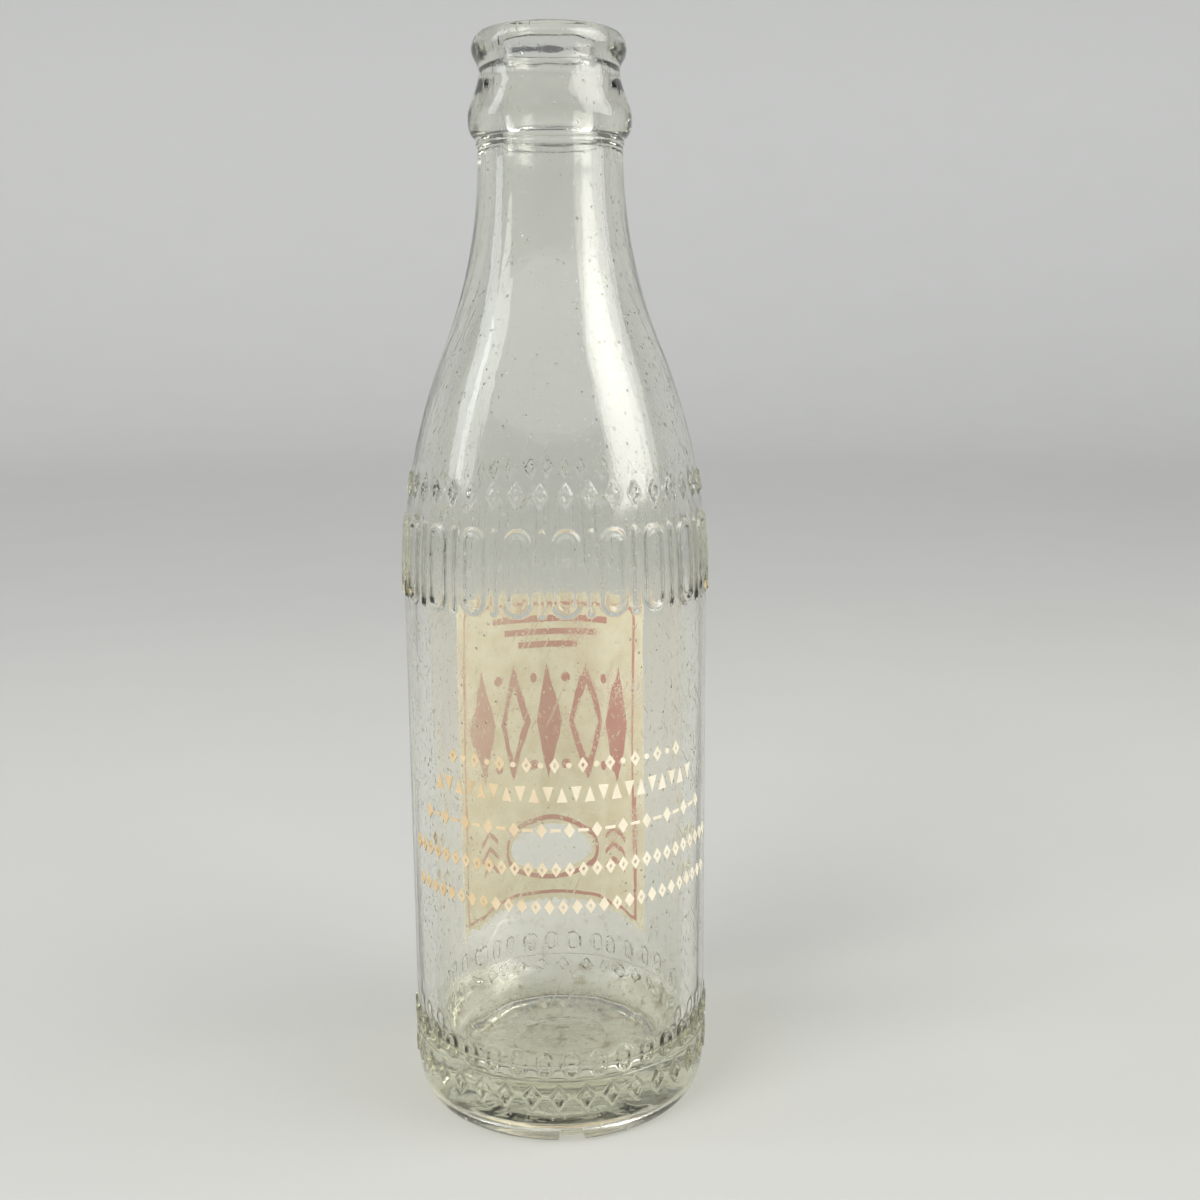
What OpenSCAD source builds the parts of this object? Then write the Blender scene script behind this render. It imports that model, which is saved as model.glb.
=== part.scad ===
// Returnable soda bottle of moulded clear glass with fired enamel decoration.
// Millimetres, +Z up, origin at the middle of the bearing ring, front (print and notch) towards -Y.

/* [Body] */
// Outside diameter of the straight wall
body_d = 54.2; // [50:0.2:58]
// Height from the bearing ring to the start of the shoulder
body_h = 97; // [96:1:110]
// Thickness of the straight wall
wall_t = 3.8; // [3:0.1:4.4]

/* [Shoulder and neck] */
// Height from the start of the shoulder to the straight neck
shoulder_h = 74; // [70:1:78]
// Radius of the convex curve of the shoulder
shoulder_r = 108; // [104:1:112]
// Outside diameter of the neck below the finish
neck_d = 25; // [24:0.2:26]
// Diameter of the bore through neck and mouth
bore_d = 16.6; // [15.6:0.2:17.6]
// Height of the collar between neck and reinforcing ring
collar_h = 2.2; // [1:0.2:4]

/* [Crown finish] */
// Diameter of the reinforcing ring
ring_d = 28.1; // [27.4:0.1:29]
// Height of the ring's rounded underside
ring_under_h = 3; // [2:0.2:4]
// Height from the widest line of the ring to the locking groove
cone_h = 7.9; // [6:0.1:10]
// Diameter at the bottom of the locking groove
groove_d = 24; // [23.4:0.1:24.4]
// Height from the groove to the widest line of the lip
bead_h = 3.5; // [2.6:0.1:4.4]
// Diameter of the lip, on which the crown cap seals
lip_d = 26.4; // [26:0.1:26.8]
// Height of the lip above its widest line
lip_h = 3.1; // [2.4:0.1:3.8]
// Diameter of the sealing line on top of the lip
seal_d = 20.6; // [19.6:0.2:21.6]
// Depth of the rounding from the sealing line down into the bore
mouth_round_h = 2.3; // [1.6:0.1:3]

/* [Base] */
// Width of the rounded heel
heel_w = 3.2; // [2.4:0.1:4]
// Height of the rounded heel
heel_h = 8; // [6:0.2:9]
// Width of the bearing ring
bearing_w = 1.4; // [1:0.1:2]
// Depth of the push-up at its rim
pushup_step_h = 1.4; // [1:0.1:2]
// Depth of the push-up at the middle
pushup_h = 4.2; // [3:0.1:5]
// Thickness of the glass at the middle of the base
base_t = 6.2; // [5:0.1:8]
// Rise of the inner floor at its middle
floor_rise = 0.9; // [0.4:0.1:1.4]
// Inner rounding between floor and wall
floor_round = 8.5; // [6:0.5:10]
// Width of the registration notch at the bearing ring
notch_w = 5.1; // [4:0.1:6]
// Width of the registration notch at its top
notch_top_w = 3.7; // [3:0.1:4]
// Height of the registration notch
notch_h = 2.6; // [2:0.1:3]
// Depth of the registration notch behind the straight wall
notch_depth = 4.4; // [4:0.1:4.8]

/* [Moulded relief] */
// Height by which the moulded marks stand proud
relief_rise = 0.45; // [0.3:0.05:0.6]
// Number of loops, and of bars between them, in the tall band
tall_count = 21; // [18:1:22]
// Height of the loops and bars in the tall band
tall_h = 14.4; // [12:0.2:16]
// Width of one loop in the tall band
tall_w = 4.7; // [4:0.1:5]
// Width of the ridge that makes a loop or a bar
tall_ridge = 1.15; // [0.9:0.05:1.3]
// Distance of the tall band's lower end below the start of the shoulder
tall_drop = 2; // [1:0.5:4]
// Number of lozenges in the small shoulder row
pip_count = 40; // [30:1:44]
// Width of a lozenge in the small shoulder row
pip_w = 2.5; // [2:0.1:3]
// Height of a lozenge in the small shoulder row
pip_h = 4.3; // [3:0.1:5]
// Gap between the tall band and the small shoulder row
pip_gap = 3.3; // [2:0.1:5]
// Number of marks in each heel row
heel_count = 36; // [30:1:44]
// Width of a heel mark
heel_mark_w = 3; // [2.4:0.1:3.2]
// Height of a heel mark
heel_mark_h = 4.7; // [4:0.1:5]
// Width of the ridge that makes a loop in the upper heel row
heel_ridge = 0.8; // [0.6:0.05:0.9]
// Height of the mould's parting line above the bearing ring
parting_z = 12.7; // [12:0.1:14]
// Gap between the parting line and the heel marks
parting_gap = 0.8; // [0.6:0.1:1]
// Height by which a parting line stands proud
parting_rise = 0.15; // [0.1:0.05:0.25]

/* [Rear label] */
// Thickness of one fired layer of enamel
enamel_t = 0.2; // [0.15:0.05:0.3]
// Width of the label along the wall
label_w = 47; // [40:0.5:52]
// Height of the label's lower end at the corners, above the bearing ring
label_z = 20.4; // [20:0.2:24]
// Distance of the label's top edge below the start of the shoulder
label_drop = 7; // [5:0.2:12]
// Rise of the arched lower edge from the corners to the middle
arch_rise = 4.6; // [3:0.1:5]
// Number of scallops along the lower edge
scallop_count = 24; // [16:1:28]
// Depth of one scallop
scallop_h = 0.9; // [0.6:0.1:1.2]
// Rounding of the label's upper corners
label_corner = 2.4; // [1:0.2:4]
// Inset of the thin frame line from the label's edge
frame_inset = 1.8; // [1.2:0.1:2.2]
// Width of the thin frame line
frame_w = 0.7; // [0.5:0.1:1]
// Width of the clear window in the label
window_w = 17; // [12:0.5:20]
// Height of the clear window in the label
window_h = 10; // [8:0.5:12]
// Height of the window's middle above the label's lower corners
window_z = 16.4; // [15:0.2:18]
// Width of the clear margin between the window and its rim line
rim_gap = 0.9; // [0.6:0.1:1.2]
// Width of the rim line round the window
rim_w = 1; // [0.6:0.1:1.4]
// Number of tall lozenges in the middle of the label
lozenge_count = 5; // [3:2:5]
// Width of one tall lozenge
lozenge_w = 6.6; // [5:0.1:7]
// Gap between the rim line of the window and the tall lozenges
lozenge_low_gap = 7.7; // [2:0.1:12]
// Gap between the tall lozenges and the lowest stripe
lozenge_top_gap = 3.15; // [1:0.05:8]
// Distance from one tall lozenge to the next
lozenge_pitch = 8; // [7.4:0.1:8.2]
// Width of the line that makes an open lozenge
lozenge_line = 1.1; // [0.8:0.1:1.3]
// Diameter of the dots between the lozenges
dot_d = 2; // [1.4:0.1:2.4]
// Number of stripes at the top of the label
stripe_count = 3; // [2:1:4]
// Width of the longest stripe at the top of the label
stripe_w = 26; // [20:1:28]
// Amount by which each stripe is shorter than the one above
stripe_step = 6; // [3:0.5:7]
// Height of one stripe
stripe_h = 1.3; // [0.8:0.1:1.5]
// Distance from one stripe to the next
stripe_pitch = 2.7; // [2.4:0.1:2.8]
// Distance from the label's top edge to the middle of the first stripe
stripe_drop = 5.4; // [4.8:0.1:5.8]
// Width of one chevron beside the window
chevron_w = 5.2; // [4:0.1:6]
// Rise of one chevron
chevron_h = 2.2; // [1.6:0.1:2.6]
// Height of the line that makes a chevron
chevron_line = 1.1; // [0.8:0.1:1.4]
// Distance from one chevron to the next above
chevron_pitch = 3.2; // [2.8:0.1:3.4]

/* [Front print] */
// Height of the lowest printed row above the bearing ring
print_z = 43.6; // [40:0.2:48]
// Height of one printed mark
mark_h = 2.7; // [2.2:0.1:3]
// Width of one printed mark
mark_w = 1.8; // [1.4:0.1:2]
// Distance from one printed mark to the next
mark_pitch = 2.35; // [2.2:0.05:2.45]
// Width of the line that makes an open mark
mark_line = 0.5; // [0.4:0.05:0.5]
// Distance from the lowest row to the second
row_gap_2 = 6.7; // [5:0.1:8]
// Distance from the second row to the third
row_gap_3 = 6.9; // [5:0.1:8]
// Distance from the third row to the fourth
row_gap_4 = 6.3; // [5:0.1:8]
// Distance from the fourth row to the fifth
row_gap_5 = 5.1; // [4:0.1:6]

/* [Hidden] */
$fn = 96;

body_r = body_d / 2;
inner_r = body_r - wall_t;
neck_r = neck_d / 2;
bore_r = bore_d / 2;
ring_r = ring_d / 2;
groove_r = groove_d / 2;
lip_r = lip_d / 2;
seal_r = seal_d / 2;
bearing_r = body_r - heel_w;
pushup_r = bearing_r - bearing_w;
neck_z = body_h + shoulder_h;
ring_under_z = neck_z + collar_h;
ring_z = ring_under_z + ring_under_h;
groove_z = ring_z + cone_h;
bead_z = groove_z + bead_h;
bottle_h = bead_z + lip_h;
floor_z = pushup_h + base_t;
floor_edge_z = floor_z - floor_rise;
inner_shoulder_z = body_h - wall_t / 2;
inner_neck_z = neck_z - wall_t;
parting_w = 2 * parting_rise;
collar_share = 1 / 6;
collar_step = (ring_r - neck_r) * collar_share;
tall_z = body_h - tall_drop;
pip_z = tall_z + tall_h + pip_gap;
heel_loop_z = parting_z + parting_gap;
heel_lozenge_z = parting_z - parting_gap - heel_mark_h;
arch_power = 2.5;
label_h = body_h - label_drop - label_z;
rim_outer_w = window_w + 2 * rim_gap + 2 * rim_w;
rim_outer_h = window_h + 2 * rim_gap + 2 * rim_w;
lozenge_low_z = window_z + rim_outer_h / 2 + lozenge_low_gap;
stripes_low_z = label_h - stripe_drop - (stripe_count - 1) * stripe_pitch - stripe_h / 2;
lozenge_h = stripes_low_z - lozenge_top_gap - lozenge_low_z;
lozenge_z = lozenge_low_z + lozenge_h / 2;
dot_height_share = 3 / 8;
row_counts = [19, 22, 25, 29, 28];
row_zs = [
    print_z + row_gap_2 + row_gap_3 + row_gap_4 + row_gap_5,
    print_z + row_gap_2 + row_gap_3 + row_gap_4,
    print_z + row_gap_2 + row_gap_3,
    print_z + row_gap_2,
    print_z
];
cut = 1;
bury = 2 * relief_rise;
curve_steps = 10;
short_steps = 7;
round_steps = 24;

// Points of an ellipse's arc from angle a0 to a1 about (cx, cz), without its first point
function arc(cx, cz, rx, rz, a0, a1, n) =
    [for (i = [1:n]) let (a = a0 + (a1 - a0) * i / n) [cx + rx * cos(a), cz + rz * sin(a)]];

// Points of a half-cosine blend that starts and ends upright, without its first point
function blend(r0, z0, r1, z1, n) =
    [for (i = [1:n]) [r0 + (r1 - r0) * (1 - cos(180 * i / n)) / 2, z0 + (z1 - z0) * i / n]];

// Radius of the hollow curve that runs on from a convex curve of radius r and ends upright
function hollow_r(r0, z0, r1, z1, r) =
    let (k = r1 - r0 + r, h = z1 - z0) (k * k + h * h - r * r) / (2 * (r - k));

// Points of an ogee from (r0, z0) to (r1, z1): two arcs that run smoothly into each other
function ogee(r0, z0, r1, z1, r, n) =
    let (r2 = hollow_r(r0, z0, r1, z1, r), sweep = atan2(z1 - z0, r2 + r1 - r0 + r))
    concat(
        [[r0, z0]],
        arc(r0 - r, z0, r, r, 0, sweep, n),
        [for (i = [1:n]) let (a = sweep * (1 - i / n)) [r1 + r2 - r2 * cos(a), z1 - r2 * sin(a)]]
    );

function reverse(pts) = [for (i = [len(pts) - 1:-1:0]) pts[i]];

// Radius of the outer surface at height z, from the straight wall up to the convex shoulder
function wall_r(z) =
    z <= body_h ? body_r : body_r - shoulder_r + sqrt(shoulder_r * shoulder_r - pow(z - body_h, 2));

// A point at distance u along the wall and height z, seen square on
function wrap(p) = [body_r * sin(p[0] / body_r * 180 / PI), p[1]];
function wrap_all(pts) = [for (p = pts) wrap(p)];

// Outline of an upright loop with round ends
function stadium(w, h, n) = concat(
    [for (i = [0:n]) let (a = 180 * i / n) [w / 2 * cos(a), (h - w) / 2 + w / 2 * sin(a)]],
    [for (i = [0:n]) let (a = 180 + 180 * i / n) [w / 2 * cos(a), (w - h) / 2 + w / 2 * sin(a)]]
);

function lozenge(u, z, w, h) = [[u - w / 2, z], [u, z + h / 2], [u + w / 2, z], [u, z - h / 2]];

// Share of a lozenge that is left inside a line of width t
function open_share(w, h, t) = 1 - 2 * t * sqrt(w * w + h * h) / (w * h);

function oval(u, z, w, h, n) =
    [for (i = [0:n - 1]) let (a = 360 * i / n) [u + w / 2 * cos(a), z + h / 2 * sin(a)]];

// Glass: the whole section as one outline, base, wall, finish and hollow
function outside_points() = concat(
    [[bearing_r, 0]],
    arc(bearing_r, heel_h, heel_w, heel_h, -90, 0, short_steps),
    parting_points(body_r, parting_z),
    ogee(body_r, body_h, neck_r, neck_z, shoulder_r, curve_steps),
    parting_points(neck_r + collar_step / 2, neck_z + collar_h / 2),
    [[neck_r + collar_step, ring_under_z]],
    arc(neck_r + collar_step, ring_z, ring_r - neck_r - collar_step, ring_under_h, -90, 0, short_steps),
    blend(ring_r, ring_z, groove_r, groove_z, short_steps),
    blend(groove_r, groove_z, lip_r, bead_z, short_steps),
    arc(seal_r, bead_z, lip_r - seal_r, lip_h, 0, 90, short_steps)
);

function inside_points() = concat(
    arc(seal_r, bottle_h - mouth_round_h, seal_r - bore_r, mouth_round_h, 90, 180, short_steps),
    reverse(ogee(inner_r, inner_shoulder_z, bore_r, inner_neck_z, shoulder_r, curve_steps)),
    [[inner_r, floor_edge_z + floor_round]],
    arc(inner_r - floor_round, floor_edge_z + floor_round, floor_round, floor_round, 0, -90, short_steps),
    [[0, floor_z]]
);

function under_points() = concat(
    [[0, pushup_h]],
    arc(0, pushup_step_h, pushup_r - pushup_step_h, pushup_h - pushup_step_h, 90, 0, short_steps),
    [[pushup_r, 0]]
);

function parting_points(r, z) =
    [[r, z - parting_w / 2], [r + parting_rise, z], [r, z + parting_w / 2]];

module glass_section() {
    polygon(concat(under_points(), outside_points(), inside_points()));
}

// Copies round the wall of an upright outline of height h above z, each leaning with the wall it stands on
module round_the_wall(count, z, h, turn_share) {
    low_r = wall_r(z);
    top_r = wall_r(z + h);
    seat_r = (low_r + top_r) / 4 + wall_r(z + h / 2) / 2;
    lean = atan2(low_r - top_r, h);
    for (i = [0:count - 1])
        rotate([0, 0, (i + turn_share) * 360 / count])
            translate([0, -seat_r, z + h / 2])
                rotate([90 - lean, 0, 0])
                    translate([0, 0, -bury])
                        linear_extrude(height = bury + relief_rise)
                            children();
}

module loop_outline(w, h, ridge, n) {
    outer = stadium(w, h, n);
    inner = stadium(w - 2 * ridge, h - 2 * ridge, n);
    m = len(outer);
    polygon(concat(outer, inner), paths = [[for (i = [0:m - 1]) i], [for (i = [0:m - 1]) m + i]]);
}

module tall_band() {
    round_the_wall(tall_count, tall_z, tall_h, 0)
        loop_outline(tall_w, tall_h, tall_ridge, short_steps - 2);
    round_the_wall(tall_count, tall_z, tall_h, 0.5)
        polygon(stadium(tall_ridge, tall_h, short_steps - 4));
}

module shoulder_pips() {
    round_the_wall(pip_count, pip_z, pip_h, 0)
        polygon(lozenge(0, 0, pip_w, pip_h));
}

module heel_marks() {
    round_the_wall(heel_count, heel_loop_z, heel_mark_h, 0)
        loop_outline(heel_mark_w, heel_mark_h, heel_ridge, short_steps - 3);
    round_the_wall(heel_count, heel_lozenge_z, heel_mark_h, 0.5)
        polygon(lozenge(0, 0, heel_mark_w, heel_mark_h));
}

module registration_notch() {
    rotate([90, 0, 0])
        translate([0, 0, body_r - notch_depth])
            linear_extrude(height = notch_depth + cut)
                polygon([
                    [-notch_w / 2 - (notch_w - notch_top_w) / 2 * cut / notch_h, -cut],
                    [notch_w / 2 + (notch_w - notch_top_w) / 2 * cut / notch_h, -cut],
                    [notch_top_w / 2, notch_h],
                    [-notch_top_w / 2, notch_h]
                ]);
}

module glass_bottle() {
    color([0.80, 0.86, 0.80, 0.55])
        difference() {
            union() {
                rotate_extrude() glass_section();
                tall_band();
                shoulder_pips();
                heel_marks();
            }
            registration_notch();
        }
}

// Enamel: a thin skin on the wall, kept where the flat shapes pass through it
module enamel(layer, z0, z1, turn) {
    intersection() {
        rotate_extrude()
            translate([body_r + layer * enamel_t, z0])
                square([enamel_t, z1 - z0]);
        rotate([90, 0, turn])
            linear_extrude(height = body_r + cut)
                children();
    }
}

module rear_enamel(layer) {
    enamel(layer, label_z - cut, label_z + label_h + cut, 180) children();
}

// Rear label: heights here are measured from the label's lower corners
function arch_z(u) = label_z + arch_rise * (1 - pow(abs(2 * u / label_w), arch_power));

function label_corner_points(inset, side) = [
    for (i = [0:short_steps]) let (a = side > 0 ? 90 * i / short_steps : 90 + 90 * i / short_steps) [
        side * (label_w / 2 - inset - label_corner) + label_corner * cos(a),
        label_z + label_h - inset - label_corner + label_corner * sin(a)
    ]
];

function lower_edge(inset, teeth) = [
    for (i = [0:scallop_count * 4]) let (
        share = i / (scallop_count * 4),
        u = (share - 0.5) * (label_w - 2 * inset)
    ) [u, arch_z(u) + inset + teeth * abs(sin(180 * i / 4))]
];

function label_outline(inset, teeth) = concat(
    lower_edge(inset, teeth),
    label_corner_points(inset, 1),
    label_corner_points(inset, -1)
);

module line_between(outer, inner) {
    m = len(outer);
    polygon(
        wrap_all(concat(outer, inner)),
        paths = [[for (i = [0:m - 1]) i], [for (i = [0:len(inner) - 1]) m + i]]
    );
}

module label_ground() {
    window = oval(0, label_z + window_z, window_w, window_h, round_steps * 2);
    color([0.91, 0.88, 0.78])
        rear_enamel(0)
            line_between(label_outline(0, scallop_h), window);
}

module label_frame() {
    color([0.66, 0.18, 0.17])
        rear_enamel(1)
            line_between(label_outline(frame_inset, 0), label_outline(frame_inset + frame_w, 0));
}

module label_stripes() {
    color([0.66, 0.18, 0.17])
        rear_enamel(1)
            for (i = [0:stripe_count - 1]) {
                w = stripe_w - i * stripe_step;
                z = label_z + label_h - stripe_drop - i * stripe_pitch;
                polygon(wrap_all([
                    [-w / 2, z - stripe_h / 2], [w / 2, z - stripe_h / 2],
                    [w / 2, z + stripe_h / 2], [-w / 2, z + stripe_h / 2]
                ]));
            }
}

module label_lozenges() {
    open = open_share(lozenge_w, lozenge_h, lozenge_line);
    color([0.66, 0.18, 0.17])
        rear_enamel(1)
            for (i = [0:lozenge_count - 1]) {
                u = (i - (lozenge_count - 1) / 2) * lozenge_pitch;
                outer = lozenge(u, label_z + lozenge_z, lozenge_w, lozenge_h);
                if (i % 2 == 0)
                    polygon(wrap_all(outer));
                else
                    line_between(outer, lozenge(u, label_z + lozenge_z, lozenge_w * open, lozenge_h * open));
            }
}

module label_dots() {
    color([0.66, 0.18, 0.17])
        rear_enamel(1)
            for (i = [0:lozenge_count - 2], side = [-1, 1]) {
                u = (i - (lozenge_count - 2) / 2) * lozenge_pitch;
                z = label_z + lozenge_z + side * lozenge_h * dot_height_share;
                polygon(wrap_all(oval(u, z, dot_d, dot_d, round_steps)));
            }
}

module label_window_rim() {
    z = label_z + window_z;
    color([0.66, 0.18, 0.17])
        rear_enamel(1)
            line_between(
                oval(0, z, rim_outer_w, rim_outer_h, round_steps * 2),
                oval(0, z, rim_outer_w - 2 * rim_w, rim_outer_h - 2 * rim_w, round_steps * 2)
            );
}

module label_chevrons() {
    side_u = (rim_outer_w / 2 + label_w / 2 - frame_inset - frame_w) / 2;
    color([0.66, 0.18, 0.17])
        rear_enamel(1)
            for (side = [-1, 1], i = [-1:1]) {
                u = side * side_u;
                z = label_z + window_z + i * chevron_pitch - chevron_h / 2;
                polygon(wrap_all([
                    [u - chevron_w / 2, z], [u, z + chevron_h], [u + chevron_w / 2, z],
                    [u + chevron_w / 2, z + chevron_line], [u, z + chevron_h + chevron_line],
                    [u - chevron_w / 2, z + chevron_line]
                ]));
            }
}

// Front print: five rows from the top down, each an even run of its own marks
module open_mark(u, z) {
    open = open_share(mark_w, mark_h, mark_line);
    line_between(lozenge(u, z, mark_w, mark_h), lozenge(u, z, mark_w * open, mark_h * open));
}

module dot_mark(u, z) {
    polygon(wrap_all(oval(u, z, 2 * mark_line, 2 * mark_line, round_steps / 2)));
}

module solid_mark(u, z) {
    polygon(wrap_all(lozenge(u, z, mark_w, mark_h)));
}

module triangle_mark(u, z, way) {
    polygon(wrap_all([
        [u - mark_w / 2, z - way * mark_h / 2],
        [u, z + way * mark_h / 2],
        [u + mark_w / 2, z - way * mark_h / 2]
    ]));
}

module dash_mark(u, z) {
    polygon(wrap_all([
        [u - mark_w / 2, z - mark_line / 2], [u + mark_w / 2, z - mark_line / 2],
        [u + mark_w / 2, z + mark_line / 2], [u - mark_w / 2, z + mark_line / 2]
    ]));
}

// Draws the i-th mark of a row; each row alternates between its own two marks
module row_mark(row, i, u, z) {
    even = i % 2 == 0;
    if (row == 0 && even) open_mark(u, z);
    if (row == 0 && !even) dot_mark(u, z);
    if (row == 1 && even) triangle_mark(u, z, 1);
    if (row == 1 && !even) triangle_mark(u, z, -1);
    if (row == 2 && even) solid_mark(u, z);
    if (row == 2 && !even) dash_mark(u, z);
    if (row == 3) open_mark(u, z);
    if (row == 4 && even) solid_mark(u, z);
    if (row == 4 && !even) open_mark(u, z);
}

module print_row(row) {
    z = row_zs[row] + mark_h / 2;
    color([0.95, 0.92, 0.83])
        enamel(0, z - mark_h, z + mark_h, 0)
            for (i = [0:row_counts[row] - 1])
                row_mark(row, i, (i - (row_counts[row] - 1) / 2) * mark_pitch, z);
}

glass_bottle();
label_ground();
label_frame();
label_stripes();
label_lozenges();
label_dots();
label_window_rim();
label_chevrons();
print_row(0);  // print_row_1
print_row(1);  // print_row_2
print_row(2);  // print_row_3
print_row(3);  // print_row_4
print_row(4);  // print_row_5
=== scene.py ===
import math
import bpy
from mathutils import Matrix, Vector, noise


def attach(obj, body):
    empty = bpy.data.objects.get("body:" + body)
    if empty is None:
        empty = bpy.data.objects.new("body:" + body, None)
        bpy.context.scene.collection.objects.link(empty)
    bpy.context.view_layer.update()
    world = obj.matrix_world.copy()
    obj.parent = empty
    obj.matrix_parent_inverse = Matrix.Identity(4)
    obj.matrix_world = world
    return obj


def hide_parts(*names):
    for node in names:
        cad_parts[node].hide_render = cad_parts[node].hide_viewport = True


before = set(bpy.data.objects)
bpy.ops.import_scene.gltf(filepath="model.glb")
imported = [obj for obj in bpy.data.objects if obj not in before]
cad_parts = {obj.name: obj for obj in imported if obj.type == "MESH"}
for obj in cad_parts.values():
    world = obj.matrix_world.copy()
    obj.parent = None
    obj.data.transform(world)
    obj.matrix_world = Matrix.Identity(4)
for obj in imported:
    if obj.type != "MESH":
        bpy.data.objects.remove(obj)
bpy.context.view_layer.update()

mm = 0.001  # lengths below are in millimetres until they reach the mesh
noise.seed_set(5)  # without it the vector noise starts from the clock and every run differs


# Small helpers

def hexToLinear(code):
    parts = [int(code[i:i + 2], 16) / 255 for i in (1, 3, 5)]
    return [c / 12.92 if c <= 0.04045 else ((c + 0.055) / 1.055) ** 2.4 for c in parts] + [1.0]


def addNode(tree, kind, links=None, **settings):
    # links holds a value or another node's output for each input, by name or number
    node = tree.nodes.new(kind)
    for key, value in settings.items():
        setattr(node, key, value)
    for key, value in (links or {}).items():
        if isinstance(value, bpy.types.NodeSocket):
            tree.links.new(value, node.inputs[key])
        else:
            node.inputs[key].default_value = value
    return node


def newMaterial(name):
    material = bpy.data.materials.new(name)
    material.use_nodes = True
    tree = material.node_tree
    tree.nodes.clear()
    return material, tree


def setRamp(node, stops):
    ramp = node.color_ramp
    while len(ramp.elements) < len(stops):
        ramp.elements.new(1.0)
    for element, (place, level) in zip(ramp.elements, stops):
        element.position, element.color = place, (level, level, level, 1.0)


def smooth(t):
    t = min(1.0, max(0.0, t))
    return t * t * (3 - 2 * t)


def startPiece(name):
    if bpy.context.object and bpy.context.object.mode != "OBJECT":
        bpy.ops.object.mode_set(mode="OBJECT")
    bpy.ops.object.select_all(action="DESELECT")
    mesh = bpy.data.meshes.new(name)
    piece = bpy.data.objects.new(name, mesh)
    bpy.context.collection.objects.link(piece)
    bpy.context.view_layer.objects.active = piece
    piece.select_set(True)
    return piece


def selectVerts(piece, test):
    # picks vertices by their place, from object mode
    bpy.ops.object.mode_set(mode="OBJECT")
    mesh = piece.data
    mesh.polygons.foreach_set("select", [False] * len(mesh.polygons))
    mesh.edges.foreach_set("select", [False] * len(mesh.edges))
    mesh.vertices.foreach_set("select", [bool(test(v.co)) for v in mesh.vertices])
    bpy.ops.object.mode_set(mode="EDIT")
    bpy.ops.mesh.select_mode(type="VERT")


# The glass bottle: its section is drawn as the half outline and spun

bottle = {
    "wallR": 27.14, "wallTop": 97.0, "shoulderR": 108.0, "neckR": 12.5, "neckZ": 171.0,
    "collarStep": 0.26, "collarRise": 0.12, "ringUnderZ": 173.2, "ringZ": 176.2, "ringR": 14.05,
    "grooveZ": 184.1, "grooveR": 12.0, "beadZ": 187.6, "lipR": 13.2, "sealR": 10.3, "topZ": 190.7,
    "mouthDrop": 2.3, "boreR": 8.3, "boreTop": 186.0, "innerR": 23.3, "innerTop": 95.1, "innerNeckZ": 167.2,
    "floorZ": 10.4, "floorEdge": 9.5, "floorRound": 8.5, "floorRings": 0.1, "floorRingPitch": 5.5,
    "bearingR": 23.9, "heelH": 8.0, "pushupR": 21.1, "pushupStep": 1.4, "pushupH": 4.2,
    "footEdge": ((21.35, 1.25), (21.75, 0.62), (22.15, 0.22), (22.55, 0.04), (22.95, 0.0)),
    "blankRingR": 8.6, "blankRingW": 0.9, "blankRingDrop": 0.2, "smoothAngle": 55,
}

# columns round the bottle, and the distance between rows: fine where marks stand and coarse elsewhere
rows = {
    "columns": 144, "markColumns": 720, "mark": 0.32, "parting": 0.1, "tall": 1.0, "wall": 6.0, "ease": 3.0,
    "shoulder": 3.0, "collar": 0.4, "bore": 4.7, "inside": 2.6, "insideWall": 4.55, "floor": 0.9, "dome": 3,
}

# degrees that a curve of the section runs from and to, and its rows
curves = {
    "dome": (62, 8, 6), "heel": (-90, -13, 10), "ring": (-88, 0, 9), "lip": (0, 90, 12),
    "mouth": (90, 180, 9), "corner": (0, -90, 11), "coneRows": 12, "beadRows": 9,
}

# where rows begin and end, measured from the end of a mark or of the run before
ends = {
    "mark": 0.5, "foot": 0.4, "parting": 0.2, "partingShare": 1.1, "ring": 0.06, "bore": 4.8,
    "innerWall": 5.1, "floor": 0.8,
    "tallFoot": (-0.7, 3.3), "tallBody": (4.3, -4.1), "tallHead": (-3.2, 0.6), "overTall": (1.4, 2.2),
    "wallFoot": (0.8, 8.3), "wallBody": (14, -6), "wallHead": (-2.8, -0.8), "shoulder": 0.8,
}

# how near counts as being on a line or a surface
near = {
    "axis": 0.01, "loop": 0.02, "outside": 0.02, "inside": 0.05, "floor": 0.1, "mark": 0.7, "merge": 0.002,
}

# how far the blown inside and the pressed finish wander, over how many waves round and what length up
uneven = {
    "inside": 0.13, "around": 3.2, "up": 48, "quickShare": 0.4, "quickAround": 8.5, "quickUp": 80,
    "quickFrom": 9, "fadeOver": 12, "floorShare": 1.6,
    "lip": 0.08, "lipAround": 5, "lipUp": 2.5, "lipFrom": 170, "lipOver": 4,
}

relief = {
    "rise": 0.45, "tallCount": 21, "tallZ": 102.2, "tallH": 14.4, "tallW": 4.7, "tallRidge": 1.15,
    "pipCount": 40, "pipZ": 114.85, "pipW": 2.5, "pipH": 4.3, "pipRidge": 0.62, "pipShare": 0.8,
    "heelCount": 36, "loopZ": 15.85, "lozengeZ": 9.55, "heelW": 3.0, "heelH": 4.7, "heelRidge": 0.8,
    "lozengeRidge": 0.66, "heelShare": 0.9, "partingZ": 12.7, "partingRise": 0.15, "partingHalf": 0.22,
    "shift": 0.16, "lift": 0.14, "stretch": 0.02, "lean": 0.02, "spread": 0.22,
    "wander": 0.07, "wanderTurns": 26, "wanderUp": 1.1, "ridgeReach": 1.15, "ridgeFall": 0.72,
    "drawCopy": 7.31, "drawRow": 3.7, "drawAt": 0.5,
}

notch = {"width": 5.1, "topWidth": 3.7, "height": 2.6, "innerR": 22.7, "outerR": 28.5, "below": 1.0,
         "softness": 0.35, "segments": 3}


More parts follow.
